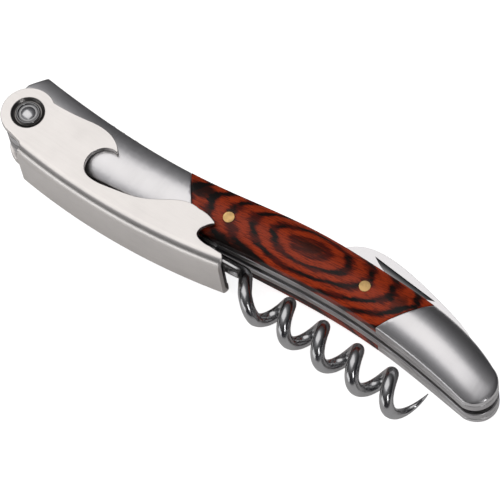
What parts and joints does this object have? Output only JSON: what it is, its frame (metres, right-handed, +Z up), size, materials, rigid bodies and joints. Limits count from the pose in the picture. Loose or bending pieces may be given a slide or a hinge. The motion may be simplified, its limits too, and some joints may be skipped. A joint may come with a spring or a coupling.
{
  "type": "waiters corkscrew",
  "caption": "Folding waiters corkscrew with wood scales, satin steel bolsters, a folded sheet lever with a cap lifter, a wire worm and a foil blade.",
  "frame": {"origin": "on the rest surface, under the middle of the bounding box of the folded tool, which lies on its back side", "axes": "+X along the handle from the lever's rivet to the butt, +Y across the handle to the spine, +Z up through the front side"},
  "size_m": [0.1173, 0.0278, 0.0146],
  "materials": {
    "liner": "satin edges",
    "bolster": "fine satin, brushed along the handle",
    "wood": "red and black laminated hardwood, satin lacquer",
    "spring_steel": "dark tempered steel",
    "pin_brass": "polished flush",
    "pin_steel": "ground",
    "rivet_steel": "polished",
    "washer_brass": "plain",
    "lever_steel": "light satin",
    "worm_steel": "polished wire",
    "blade_steel": "fine satin"
  },
  "bodies": {
    "handle": {"front_liner": "liner", "back_liner": "liner", "front_head_bolster": "bolster", "back_head_bolster": "bolster", "front_butt_bolster": "bolster", "back_butt_bolster": "bolster", "front_scale": "wood", "back_scale": "wood", "head_spacer": "spring_steel", "worm_spring": "spring_steel", "blade_spring": "spring_steel", "scale_pins": "pin_brass", "head_pins": "pin_steel", "spring_pins": "pin_steel", "butt_pin": "pin_steel", "worm_pivot_pin": "pin_steel", "blade_pivot_pin": "pin_steel", "lever_rivet": "rivet_steel", "rivet_cap": "rivet_steel", "pivot_washers": "washer_brass"},
    "lever": {"lever": "lever_steel"},
    "worm": {"worm": "worm_steel"},
    "foil_blade": {"foil_blade": "blade_steel"}
  },
  "joints": [
    {"name": "lever_swing", "type": "hinge", "parent": "handle", "child": "lever", "pos_m": [-0.05305, -0.00274, 0.0073], "axis": [0, 0, -1], "range_deg": [0, 160]},
    {"name": "worm_swing", "type": "hinge", "parent": "handle", "child": "worm", "pos_m": [-0.01125, -0.00154, 0.0073], "axis": [0, 0, -1], "range_deg": [0, 90]},
    {"name": "blade_swing", "type": "hinge", "parent": "handle", "child": "foil_blade", "pos_m": [0.05175, 0.00136, 0.0073], "axis": [0, 0, -1], "range_deg": [0, 175]}
  ],
  "couplings": [
    {"joint": "worm_swing", "follows": "lever_swing", "ratio": 0.5625}
  ]
}
